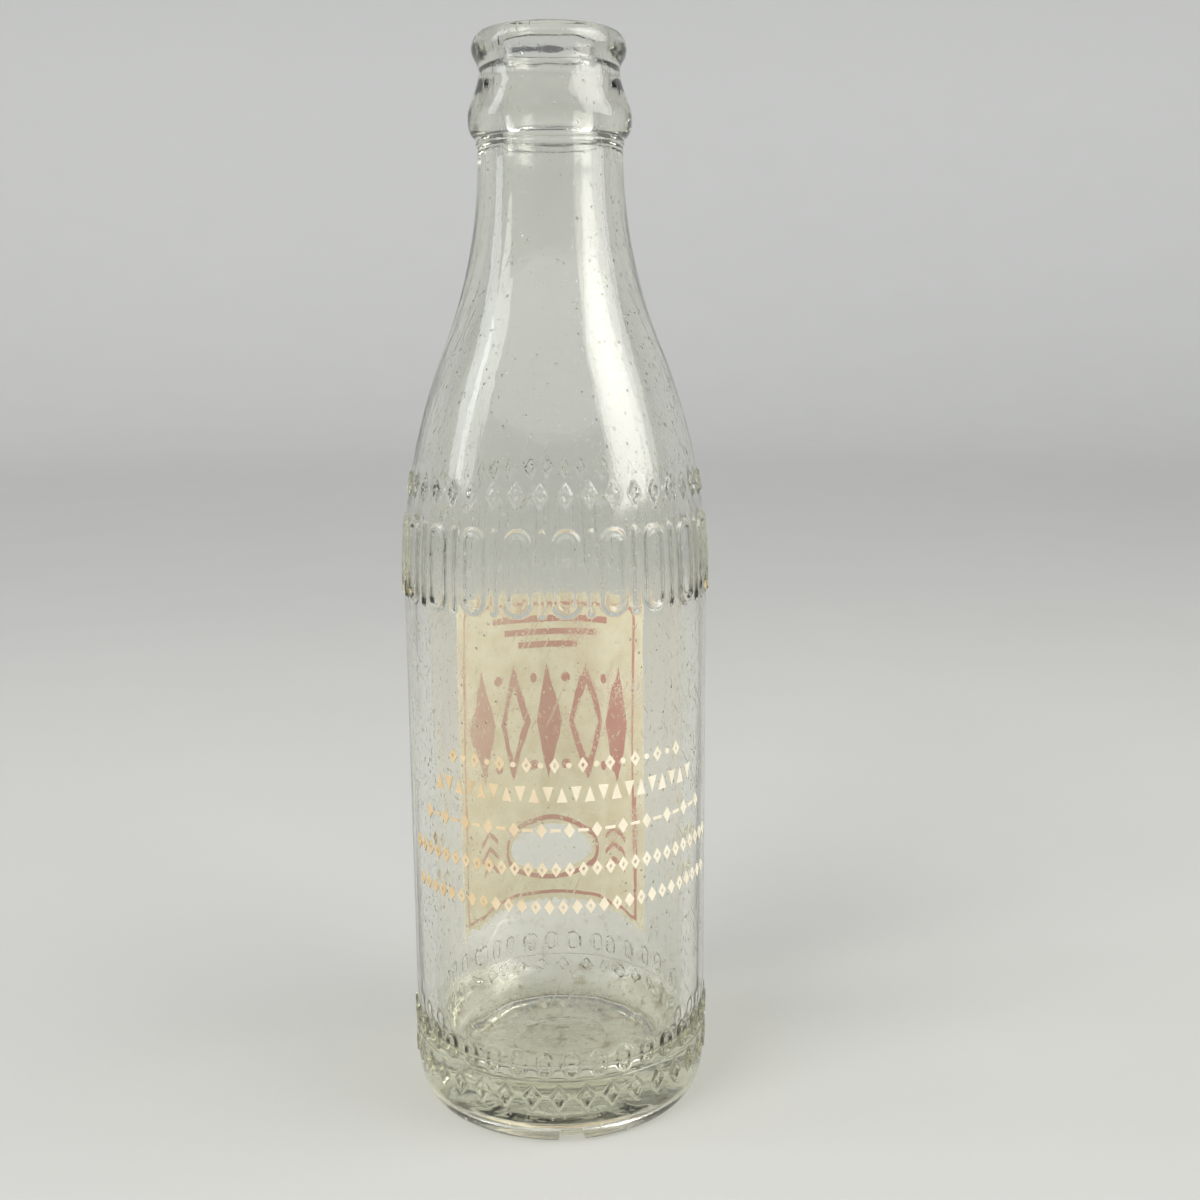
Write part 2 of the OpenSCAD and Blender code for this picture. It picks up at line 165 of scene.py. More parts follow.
def arc(cx, cz, rx, rz, a0, a1, n):
    steps = [math.radians(a0 + (a1 - a0) * i / n) for i in range(1, n + 1)]
    return [(cx + rx * math.cos(a), cz + rz * math.sin(a)) for a in steps]


def blend(r0, z0, r1, z1, n):
    return [(r0 + (r1 - r0) * (1 - math.cos(math.pi * i / n)) / 2, z0 + (z1 - z0) * i / n)
            for i in range(1, n + 1)]


def ogeeR(z, r0, z0, r1, z1, r):
    # radius at height z on a convex curve of radius r that runs into a hollow one and ends upright
    if z <= z0:
        return r0
    k, h = r1 - r0 + r, z1 - z0
    hollow = (k * k + h * h - r * r) / (2 * (r - k))
    turn = z0 + r * math.sin(math.atan2(h, hollow + k))
    if z < turn:
        return r0 - r + math.sqrt(r * r - (z - z0) ** 2)
    return r1 + hollow - math.sqrt(max(0, hollow * hollow - (z1 - min(z, z1)) ** 2))


def outerR(z):
    b = bottle
    if z < b["heelH"]:
        return b["bearingR"] + (b["wallR"] - b["bearingR"]) * math.sqrt(1 - (1 - z / b["heelH"]) ** 2)
    return ogeeR(z, b["wallR"], b["wallTop"], b["neckR"], b["neckZ"], b["shoulderR"])


def innerR(z):
    b = bottle
    return ogeeR(z, b["innerR"], b["innerTop"], b["boreR"], b["innerNeckZ"], b["shoulderR"])


def evenly(a, b, step):
    n = max(1, round(abs(b - a) / step))
    return [a + (b - a) * i / n for i in range(n + 1)]


def aroundMark(middle, height, step):
    # rows that cover a mark from end to end and a little beyond
    reach = height / 2 + ends["mark"]
    return evenly(middle - reach, middle + reach, step)


def undersideRun():
    # the push-up's dome with the blank mould's ring in it, and the foot's rounded inner edge
    b = bottle
    rise = b["pushupH"] - b["pushupStep"]
    dome = lambda r: b["pushupStep"] + rise * math.sqrt(1 - (r / b["pushupR"]) ** 2)
    inner = [(r, dome(r)) for r in evenly(0, 2 * rows["dome"], rows["dome"])]
    ring = [(b["blankRingR"] + side * b["blankRingW"] / 2,
             dome(b["blankRingR"]) - b["blankRingDrop"] * (1 + math.cos(math.pi * side)) / 2)
            for side in (-1, -0.5, 0, 0.5, 1)]
    outer = arc(0, b["pushupStep"], b["pushupR"], rise, *curves["dome"])
    return inner + ring + outer + list(b["footEdge"])


def collarR(z):
    # the neck widens a little under the ring, and the finish mould's parting line runs half way up the collar
    b = bottle
    middle = (b["neckZ"] + b["ringUnderZ"]) / 2
    step = b["collarStep"] * smooth((z - b["neckZ"]) / (b["ringUnderZ"] - b["neckZ"]))
    return b["neckR"] + step + b["collarRise"] * smooth(1 - abs(z - middle) / relief["partingHalf"])


def collarRun():
    b = bottle
    low, top = b["neckZ"], b["ringUnderZ"]
    middle, half = (low + top) / 2, relief["partingHalf"]
    beside, step = ends["partingShare"] * half, rows["collar"]
    heights = evenly(low + step, middle - beside, step) + [middle - half / 2, middle, middle + half / 2]
    heights += evenly(middle + beside, top - ends["ring"], step)
    return [(collarR(z), z) for z in heights]


def finishRun():
    b = bottle
    under = b["neckR"] + b["collarStep"]
    ring = arc(under, b["ringZ"], b["ringR"] - under, b["ringZ"] - b["ringUnderZ"], *curves["ring"])
    cone = blend(b["ringR"], b["ringZ"], b["grooveR"], b["grooveZ"], curves["coneRows"])
    bead = blend(b["grooveR"], b["grooveZ"], b["lipR"], b["beadZ"], curves["beadRows"])
    lip = arc(b["sealR"], b["beadZ"], b["lipR"] - b["sealR"], b["topZ"] - b["beadZ"], *curves["lip"])
    low = b["topZ"] - b["mouthDrop"]
    mouth = arc(b["sealR"], low, b["sealR"] - b["boreR"], b["mouthDrop"], *curves["mouth"])
    return ring + cone + bead + lip + mouth


def insideRun():
    b = bottle
    corner = b["floorEdge"] + b["floorRound"]
    flatR = b["innerR"] - b["floorRound"]
    run = [(b["boreR"], z) for z in evenly(b["boreTop"], b["innerNeckZ"] + ends["bore"], rows["bore"])]
    run += [(innerR(z), z) for z in evenly(b["innerNeckZ"], b["innerTop"], rows["inside"])]
    run += [(b["innerR"], z) for z in evenly(b["innerTop"] - ends["innerWall"], corner, rows["insideWall"])]
    run += arc(flatR, corner, b["floorRound"], b["floorRound"], *curves["corner"])
    for r in evenly(flatR - ends["floor"], 0, rows["floor"]):
        dished = (b["floorZ"] - b["floorEdge"]) * smooth(1 - r / flatR)
        rings = b["floorRings"] * math.cos(2 * math.pi * r / b["floorRingPitch"])
        run.append((r, b["floorEdge"] + dished + rings))
    return run


def bottleBands():
    # runs of the outline from the middle of the underside, over the lip, to the middle of the floor
    b, m = bottle, relief
    heel = [(b["bearingR"] - ends["foot"], 0.0), (b["bearingR"], 0.0)]
    heel += arc(b["bearingR"], b["heelH"], b["wallR"] - b["bearingR"], b["heelH"], *curves["heel"])
    parting = evenly(m["partingZ"] - ends["parting"], m["partingZ"] + ends["parting"], rows["parting"])
    low = (aroundMark(m["lozengeZ"], m["heelH"], rows["mark"]) + parting
           + aroundMark(m["loopZ"], m["heelH"], rows["mark"]))
    tallLow, tallHigh = m["tallZ"] - m["tallH"] / 2, m["tallZ"] + m["tallH"] / 2
    foot, body, head = ends["tallFoot"], ends["tallBody"], ends["tallHead"]
    high = evenly(tallLow + foot[0], tallLow + foot[1], rows["mark"])
    high += evenly(tallLow + body[0], tallHigh + body[1], rows["tall"])
    high += evenly(tallHigh + head[0], tallHigh + head[1], rows["mark"])
    high += [tallHigh + up for up in ends["overTall"]] + aroundMark(m["pipZ"], m["pipH"], rows["mark"])
    foot, body = ends["wallFoot"], ends["wallBody"]
    wall = evenly(low[-1] + foot[0], low[-1] + foot[1], rows["ease"])
    wall += evenly(low[-1] + body[0], high[0] + body[1], rows["wall"])
    wall += [high[0] + down for down in ends["wallHead"]]
    shoulder = evenly(high[-1] + ends["shoulder"], b["neckZ"], rows["shoulder"])
    outline = lambda heights: [(outerR(z), z) for z in heights]
    return [
        (undersideRun() + heel, rows["columns"]),
        (outline(low), rows["markColumns"]),
        (outline(wall), rows["columns"]),
        (outline(high), rows["markColumns"]),
        (outline(shoulder) + collarRun() + finishRun() + insideRun(), rows["columns"]),
    ]


def spinBand(points, columns):
    # draws the run as edges at the front and turns it once round the axis
    band = startPiece("band")
    corners, edges = [(0, -r * mm, z * mm) for r, z in points], [(i, i + 1) for i in range(len(points) - 1)]
    band.data.from_pydata(corners, edges, [])
    turn = band.modifiers.new("turn", "SCREW")
    turn.axis, turn.angle, turn.screw_offset = "Z", 2 * math.pi, 0
    turn.steps = turn.render_steps = columns
    turn.use_merge_vertices, turn.merge_threshold = True, near["merge"] * mm
    bpy.ops.object.modifier_apply(modifier=turn.name)
    return band


def ridge(distance, half):
    # a soft-topped bead across a line, as pressed glass fills a cut in the mould
    return smooth((half * relief["ridgeReach"] - abs(distance)) / (half * relief["ridgeFall"]))


def loopRise(u, v, width, height, line):
    radius = (width - line) / 2
    straight = (height - line) / 2 - radius
    return ridge(math.hypot(u, max(abs(v) - straight, 0)) - radius, line / 2)


def barRise(u, v, height, line):
    return ridge(math.hypot(u, max(abs(v) - (height - line) / 2, 0)), line / 2)


def lozengeRise(u, v, width, height, line):
    a, b = width / 2, height / 2
    inside = (abs(u) / a + abs(v) / b - 1) * a * b / math.hypot(a, b)
    return ridge(inside + line / 2, line / 2)


def nearestMark(angle, z, count, share, middle, seed):
    # the nearest copy's own distance across and up, each copy a little off as hand-cut marks are
    k = round(angle * count / (2 * math.pi) - share)
    # every copy draws at a place of its own, so that no two are alike
    wobble = noise.noise_vector(Vector((k * relief["drawCopy"], seed * relief["drawRow"], relief["drawAt"])))
    u = (angle - (k + share) * 2 * math.pi / count) * outerR(z) - wobble.x * relief["shift"]
    v = (z - middle) * (1 + wobble.y * relief["stretch"]) - wobble.y * relief["lift"]
    return u + v * wobble.z * relief["lean"], v, 1 + wobble.z * relief["spread"]


def reliefRise(angle, z):
    r = relief
    around = math.sin(angle) * r["wanderTurns"], math.cos(angle) * r["wanderTurns"]
    wander = noise.noise_vector(Vector((*around, z * r["wanderUp"]))) * r["wander"]
    stands = lambda middle, height: abs(z - middle) < height / 2 + near["mark"]
    rise = 0.0
    if stands(r["tallZ"], r["tallH"]):
        u, v, size = nearestMark(angle, z, r["tallCount"], 0, r["tallZ"], 1)
        rise = loopRise(u + wander.x, v + wander.y, r["tallW"], r["tallH"], r["tallRidge"]) * size
        u, v, size = nearestMark(angle, z, r["tallCount"], 0.5, r["tallZ"], 2)
        rise = max(rise, barRise(u + wander.x, v, r["tallH"], r["tallRidge"]) * size)
    elif stands(r["pipZ"], r["pipH"]):
        u, v, size = nearestMark(angle, z, r["pipCount"], 0, r["pipZ"], 3)
        rise = lozengeRise(u + wander.x, v, r["pipW"], r["pipH"], r["pipRidge"]) * size * r["pipShare"]
    elif stands(r["loopZ"], r["heelH"]):
        u, v, size = nearestMark(angle, z, r["heelCount"], 0, r["loopZ"], 4)
        rise = loopRise(u + wander.x, v, r["heelW"], r["heelH"], r["heelRidge"]) * size * r["heelShare"]
    elif stands(r["lozengeZ"], r["heelH"]):
        u, v, size = nearestMark(angle, z, r["heelCount"], 0.5, r["lozengeZ"], 5)
        rise = lozengeRise(u + wander.x, v, r["heelW"], r["heelH"], r["lozengeRidge"]) * size * r["heelShare"]
    rise = min(rise, 1.0) * r["rise"]
    return max(rise, r["partingRise"] * smooth(1 - abs(z - r["partingZ"]) / r["partingHalf"]))


def blownInside(angle, z, r):
    # the inside's drift outwards, and down on the floor, as blown glass does
    b, w = bottle, uneven
    across = math.sin(angle), math.cos(angle)
    slow = noise.noise(Vector((across[0] * w["around"], across[1] * w["around"], z / w["up"])))
    quick = noise.noise(Vector((
        across[0] * w["quickAround"], across[1] * w["quickAround"], z / w["quickUp"] + w["quickFrom"])))
    fade = smooth((b["boreTop"] - z) / w["fadeOver"]) * min(1.0, r / b["innerR"])
    moved = w["inside"] * (slow + w["quickShare"] * quick) * fade
    corner = smooth((b["floorEdge"] + b["floorRound"] - z) / b["floorRound"])
    return moved * (1 - corner), -w["floorShare"] * moved * corner


def shapeGlass(piece):
    # raises the moulded marks, and lets the inside and the finish wander
    b, w = bottle, uneven
    markTop = relief["pipZ"] + relief["pipH"] / 2 + 2 * ends["mark"]
    for v in piece.data.vertices:
        r, z = math.hypot(v.co.x, v.co.y) / mm, v.co.z / mm
        if r < near["axis"]:
            continue
        angle = math.atan2(v.co.x, -v.co.y)
        across, up = Vector((v.co.x, v.co.y, 0)).normalized(), Vector((0, 0, 1))
        if z < markTop and r > outerR(z) - near["outside"]:
            tilt = math.asin(max(0.0, z - b["wallTop"]) / b["shoulderR"])
            v.co += (across * math.cos(tilt) + up * math.sin(tilt)) * reliefRise(angle, z) * mm
        elif b["floorEdge"] - near["floor"] < z < b["boreTop"] and r < innerR(z) + near["inside"]:
            outward, upward = blownInside(angle, z, r)
            v.co += (across * outward + up * upward) * mm
        elif z > w["lipFrom"]:
            turns = math.sin(angle) * w["lipAround"], math.cos(angle) * w["lipAround"]
            moved = w["lip"] * noise.noise(Vector((*turns, z / w["lipUp"])))
            v.co += across * moved * smooth((z - w["lipFrom"]) / w["lipOver"]) * mm


def notchCutter():
    n = notch
    bpy.ops.mesh.primitive_cube_add(size=1, location=(0, 0, 0))
    cutter = bpy.context.object
    cutter.name = "notchCutter"
    for v in cutter.data.vertices:
        low = v.co.z < 0
        spread = (n["width"] - n["topWidth"]) / (2 * n["height"]) * n["below"]
        half = n["width"] / 2 + spread if low else n["topWidth"] / 2
        across, along = half * (1 if v.co.x > 0 else -1), -n["innerR"] if v.co.y > 0 else -n["outerR"]
        v.co = Vector((across, along, -n["below"] if low else n["height"])) * mm
    bpy.ops.object.mode_set(mode="EDIT")
    bpy.ops.mesh.select_all(action="SELECT")
    bpy.ops.mesh.bevel(offset=n["softness"] * mm, segments=n["segments"], affect="EDGES")
    bpy.ops.object.mode_set(mode="OBJECT")
    return cutter


def buildBottle():
    bands = bottleBands()
    parts = [spinBand(points, columns) for points, columns in bands]
    for part in parts:
        part.select_set(True)
    piece = parts[0]
    bpy.context.view_layer.objects.active = piece
    bpy.ops.object.join()
    piece.name = piece.data.name = "glassBottle"
    for (low, _), (high, _) in zip(bands, bands[1:]):
        places = [low[-1], high[0]]
        selectVerts(piece, lambda co: any(
            math.dist((math.hypot(co.x, co.y) / mm, co.z / mm), place) < near["loop"] for place in places))
        bpy.ops.mesh.bridge_edge_loops()
    bpy.ops.object.mode_set(mode="OBJECT")
    shapeGlass(piece)
    bpy.ops.object.mode_set(mode="EDIT")
    bpy.ops.mesh.select_all(action="SELECT")
    bpy.ops.mesh.normals_make_consistent(inside=False)
    bpy.ops.object.mode_set(mode="OBJECT")
    cutter = notchCutter()
    bpy.context.view_layer.objects.active = piece
    cut = piece.modifiers.new("notch", "BOOLEAN")
    cut.operation, cut.solver, cut.object = "DIFFERENCE", "EXACT", cutter
    bpy.ops.object.modifier_apply(modifier=cut.name)
    bpy.data.objects.remove(cutter, do_unlink=True)
    bpy.ops.object.select_all(action="DESELECT")
    piece.select_set(True)
    bpy.ops.object.shade_smooth_by_angle(angle=math.radians(bottle["smoothAngle"]))
    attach(piece, "root")
    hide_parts("glass_bottle")
    return piece


glassBottle = buildBottle()
print("bottle:", len(glassBottle.data.polygons), "faces,",
      sum(len(p.vertices) - 2 for p in glassBottle.data.polygons), "triangles")


# Fired enamel: flat outlines, wrapped round the wall and given their thickness

enamel = {
    "innerR": 27.10, "redInnerR": 27.05, "layer": 0.2, "pitch": 1.0, "ragged": 0.07, "groundRagged": 0.16,
    "printRagged": 0.049, "raggedSize": 0.9, "quickShare": 0.8, "quickSize": 3.1, "outlineStep": 0.35,
    "ovalSteps": 64, "dotSteps": 24, "merge": 0.001, "cutFrom": 0.013, "smoothAngle": 40,
    "drawOutline": 1.7, "drawQuick": 5,
}

label = {
    "width": 47.0, "low": 20.4, "height": 69.6, "arch": 4.6, "archPower": 2.5, "scallops": 24,
    "scallopH": 0.9, "scallopSteps": 8, "corner": 2.4, "cornerSteps": 7, "frameInset": 1.8, "frameW": 0.7,
    "windowW": 17.0, "windowH": 10.0, "windowZ": 16.4, "rimGap": 0.9, "rimW": 1.0,
    "lozenges": 5, "lozengeW": 6.6, "lozengeH": 24.0, "lozengePitch": 8.0, "lozengeZ": 43.0,
    "lozengeLine": 1.1, "dot": 2.0, "dotShare": 0.375,
    "stripes": 3, "stripeW": 26.0, "stripeStep": 6.0, "stripeH": 1.3, "stripePitch": 2.7, "stripeDrop": 5.4,
    "chevronW": 5.2, "chevronH": 2.2, "chevronLine": 1.1, "chevronPitch": 3.2,
}

printed = {
    "heights": [68.6, 63.5, 57.2, 50.3, 43.6], "counts": [19, 22, 25, 29, 28],
    "markH": 2.7, "markW": 1.8, "pitch": 2.35, "line": 0.5,
}


def lozenge(u, z, w, h):
    return [(u - w / 2, z), (u, z + h / 2), (u + w / 2, z), (u, z - h / 2)]


def openLozenge(u, z, w, h, line):
    share = 1 - 2 * line * math.hypot(w, h) / (w * h)
    return [lozenge(u, z, w, h), lozenge(u, z, w * share, h * share)]


def oval(u, z, w, h, n):
    turns = [2 * math.pi * i / n for i in range(n)]
    return [(u + w / 2 * math.cos(a), z + h / 2 * math.sin(a)) for a in turns]


def bar(u, z, w, h):
    return [(u - w / 2, z - h / 2), (u + w / 2, z - h / 2), (u + w / 2, z + h / 2), (u - w / 2, z + h / 2)]


def panelOutline(inset, teeth):
    p = label
    n = p["scallops"] * p["scallopSteps"]
    points = []
    for i in range(n + 1):
        u = (i / n - 0.5) * (p["width"] - 2 * inset)
        z = p["low"] + p["arch"] * (1 - abs(2 * u / p["width"]) ** p["archPower"]) + inset
        points.append((u, z + teeth * abs(math.sin(math.pi * i / p["scallopSteps"]))))
    for side in (1, -1):
        for i in range(p["cornerSteps"] + 1):
            a = math.radians(90 * i / p["cornerSteps"] + (0 if side > 0 else 90))
            u = side * (p["width"] / 2 - inset - p["corner"]) + p["corner"] * math.cos(a)
            points.append((u, p["low"] + p["height"] - inset - p["corner"] + p["corner"] * math.sin(a)))
    return points


def worn(outline, amount, seed):
    # cuts an outline into short steps and moves each a little, as a screened and handled edge is
    points = []
    for i, (u0, z0) in enumerate(outline):
        u1, z1 = outline[(i + 1) % len(outline)]
        n = max(1, round(math.hypot(u1 - u0, z1 - z0) / enamel["outlineStep"]))
        points += [(u0 + (u1 - u0) * k / n, z0 + (z1 - z0) * k / n) for k in range(n)]
    moved = []
    for u, z in points:
        coarse = noise.noise_vector(Vector((u * enamel["raggedSize"], z * enamel["raggedSize"], seed)))
        quick = noise.noise_vector(Vector((
            u * enamel["quickSize"], z * enamel["quickSize"], seed + enamel["drawQuick"])))
        shift = (coarse + enamel["quickShare"] * quick) * amount
        moved.append((u + shift.x, z + shift.y))
    return moved


def enamelPiece(name, outlines, turn, innerRadius, thickness, ragged, nodes):
    curve = bpy.data.curves.new(name + "Outline", "CURVE")
    curve.dimensions, curve.fill_mode = "2D", "BOTH"
    for k, outline in enumerate(outlines):
        points = worn(outline, ragged, k * enamel["drawOutline"] + turn)
        spline = curve.splines.new("POLY")
        spline.points.add(len(points) - 1)
        spline.points.foreach_set("co", [x for u, z in points for x in (u * mm, z * mm, 0, 1)])
        spline.use_cyclic_u = True
    bpy.ops.object.select_all(action="DESELECT")
    piece = bpy.data.objects.new(name, curve)
    bpy.context.collection.objects.link(piece)
    bpy.context.view_layer.objects.active = piece
    piece.select_set(True)
    bpy.ops.object.convert(target="MESH")
    piece = bpy.context.object
    bpy.ops.object.mode_set(mode="EDIT")
    bpy.ops.mesh.select_all(action="SELECT")
    bpy.ops.mesh.remove_doubles(threshold=enamel["merge"] * mm)
    us = [v.co.x / mm for v in piece.data.vertices]
    place = math.ceil(min(us)) + enamel["cutFrom"]
    while place < max(us):
        bpy.ops.mesh.select_all(action="SELECT")
        bpy.ops.mesh.bisect(plane_co=(place * mm, 0, 0), plane_no=(1, 0, 0))
        place += enamel["pitch"]
    bpy.ops.object.mode_set(mode="OBJECT")
    side = -1 if turn == 0 else 1
    for v in piece.data.vertices:
        angle, z = v.co.x / mm / enamel["innerR"], v.co.y
        reach = side * innerRadius * mm
        v.co = Vector((-reach * math.sin(angle), reach * math.cos(angle), z))
    bpy.ops.object.mode_set(mode="EDIT")
    bpy.ops.mesh.select_all(action="SELECT")
    bpy.ops.mesh.normals_make_consistent(inside=False)
    bpy.ops.object.mode_set(mode="OBJECT")
    facing = sum(p.normal.dot(p.center) * p.area for p in piece.data.polygons)
    layer = piece.modifiers.new("thickness", "SOLIDIFY")
    layer.thickness, layer.offset = thickness * mm, 1 if facing > 0 else -1
    bpy.ops.object.modifier_apply(modifier=layer.name)
    bpy.ops.object.mode_set(mode="EDIT")
    bpy.ops.mesh.select_all(action="SELECT")
    bpy.ops.mesh.normals_make_consistent(inside=False)
    bpy.ops.object.mode_set(mode="OBJECT")
    bpy.ops.object.shade_smooth_by_angle(angle=math.radians(enamel["smoothAngle"]))
    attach(piece, "root")
    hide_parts(*nodes)
    return piece


def labelShapes():
    p = label
    top, base = p["low"] + p["height"], p["low"]
    shapes = {}
    shapes["labelFrame"] = [panelOutline(p["frameInset"], 0), panelOutline(p["frameInset"] + p["frameW"], 0)]
    shapes["labelStripes"] = [
        bar(0, top - p["stripeDrop"] - i * p["stripePitch"], p["stripeW"] - i * p["stripeStep"], p["stripeH"])
        for i in range(p["stripes"])]
    tall = []
    for i in range(p["lozenges"]):
        u = (i - (p["lozenges"] - 1) / 2) * p["lozengePitch"]
        if i % 2 == 0:
            tall.append(lozenge(u, base + p["lozengeZ"], p["lozengeW"], p["lozengeH"]))
        else:
            tall += openLozenge(u, base + p["lozengeZ"], p["lozengeW"], p["lozengeH"], p["lozengeLine"])
    shapes["labelLozenges"] = tall
    shapes["labelDots"] = [
        oval((i - (p["lozenges"] - 2) / 2) * p["lozengePitch"],
             base + p["lozengeZ"] + side * p["lozengeH"] * p["dotShare"],
             p["dot"], p["dot"], enamel["dotSteps"])
        for i in range(p["lozenges"] - 1) for side in (-1, 1)]
    w, h = p["windowW"] + 2 * p["rimGap"], p["windowH"] + 2 * p["rimGap"]
    z = base + p["windowZ"]
    steps = enamel["ovalSteps"]
    rim = 2 * p["rimW"]
    shapes["labelWindowRim"] = [oval(0, z, w + rim, h + rim, steps), oval(0, z, w, h, steps)]
    sideU = (w / 2 + p["rimW"] + p["width"] / 2 - p["frameInset"] - p["frameW"]) / 2
    chevrons = []
    for side in (-1, 1):
        for i in (-1, 0, 1):
            u, low = side * sideU, z + i * p["chevronPitch"] - p["chevronH"] / 2
            half, up, line = p["chevronW"] / 2, p["chevronH"], p["chevronLine"]
            chevrons.append([(u - half, low), (u, low + up), (u + half, low), (u + half, low + line),
                             (u, low + up + line), (u - half, low + line)])
    shapes["labelChevrons"] = chevrons
    return shapes


def rowShapes(row):
    p = printed
    z = p["heights"][row] + p["markH"] / 2
    shapes = []
    for i in range(p["counts"][row]):
        u, even = (i - (p["counts"][row] - 1) / 2) * p["pitch"], i % 2 == 0
        if row == 3 or (row == 0 and even) or (row == 4 and not even):
            shapes += openLozenge(u, z, p["markW"], p["markH"], p["line"])
        elif row == 0:
            shapes.append(oval(u, z, 2 * p["line"], 2 * p["line"], enamel["dotSteps"] // 2))
        elif row == 1:
            way = 1 if even else -1
            half, up = p["markW"] / 2, way * p["markH"] / 2
            shapes.append([(u - half, z - up), (u, z + up), (u + half, z - up)])
        elif row == 2 and not even:
            shapes.append(bar(u, z, p["markW"], p["line"]))
        else:
            shapes.append(lozenge(u, z, p["markW"], p["markH"]))
    return shapes


windowHole = oval(0, label["low"] + label["windowZ"], label["windowW"], label["windowH"], enamel["ovalSteps"])
labelGround = enamelPiece(
    "labelGround", [panelOutline(0, label["scallopH"]), windowHole], 180, enamel["innerR"], enamel["layer"],
    enamel["groundRagged"], ["label_ground"])
redNodes = {
    "labelFrame": "label_frame", "labelStripes": "label_stripes", "labelLozenges": "label_lozenges",
    "labelDots": "label_dots", "labelWindowRim": "label_window_rim", "labelChevrons": "label_chevrons",
}
redDepth = enamel["innerR"] + 2 * enamel["layer"] - enamel["redInnerR"]
redPieces = [
    enamelPiece(name, outlines, 180, enamel["redInnerR"], redDepth, enamel["ragged"], [redNodes[name]])
    for name, outlines in labelShapes().items()]
printPieces = [
    enamelPiece("printRow" + str(row + 1), rowShapes(row), 0, enamel["innerR"], enamel["layer"],
                enamel["printRagged"], ["print_row_" + str(row + 1)])
    for row in range(len(printed["heights"]))]
print("enamel:", len(redPieces) + len(printPieces) + 1, "pieces")


# Moulded soda-lime glass: clear, a faint yellow green where it is thick, rippled, pitted and scuffed
glass = {
    "tint": "#fcfcf9", "passed": "#fafaf8", "heldBack": "#70746d", "ior": 1.52,
    "clear": 0.010, "scuffed": 0.15, "absorbed": (0.86, 0.88, 0.38), "density": 9.0, "edgeBlend": 0.3,
    "ripple": 1.6, "rippleSquash": 0.07, "rippleDepth": 0.03, "rippleLow": 105, "rippleHigh": 140,
    "rippleLeast": 0.3, "pitPitch": 2.3, "pitRange": (0.06, 0.11), "pitDepth": 0.07,
    "scratchPitch": 0.5, "scratchLeans": ((0.0, 0.42, 0.0), (0.5, -0.3, 0.0)), "scratchStretch": 30,
    "scratchRange": (0.775, 0.83), "scratchDepth": 0.02, "seamWidth": 0.3, "seamCore": 0.1,
    "patchSize": 9, "patchRange": (0.52, 0.72), "gritSize": 0.35, "gritRange": (0.56, 0.68), "gritShare": 0.5,
    "residue": "#b9ab8c", "residueR": 24.5, "residueLow": 8.5, "residueFull": 12, "residueTop": 36,
    "residueGrain": 2.4, "residueRange": (0.56, 0.66),
    # pairs of a share of the height and how worn the glass is there
    "wear": ((0.0, 1.0), (0.012, 0.15), (0.075, 0.0), (0.09, 0.45), (0.105, 0.0), (0.50, 0.0), (0.515, 0.45),
             (0.58, 0.3), (0.60, 0.0), (0.965, 0.0), (1.0, 0.7)),
}


